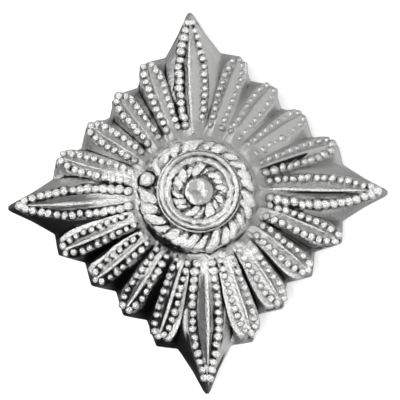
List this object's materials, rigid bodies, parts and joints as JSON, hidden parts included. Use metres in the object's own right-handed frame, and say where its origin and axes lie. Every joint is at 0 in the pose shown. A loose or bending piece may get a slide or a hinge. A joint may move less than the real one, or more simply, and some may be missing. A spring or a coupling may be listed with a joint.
{
  "type": "rank insignia star",
  "caption": "Struck silver rank star with long main points, beaded rays and a roped boss, worn on a shoulder strap with a split pin.",
  "frame": {"origin": "centre of the plane of the back rim, on which the star lies", "axes": "+Z out of the face, +Y towards the top point, +X towards the right point as seen from the front"},
  "size_m": [0.021, 0.0216, 0.0029],
  "materials": {
    "silvered_metal": "bright silver, struck, with dark in the hollows",
    "pin_brass": "plain brass strip"
  },
  "bodies": {
    "root": {"star": "silvered_metal", "split_pin": "pin_brass"}
  },
  "joints": []
}
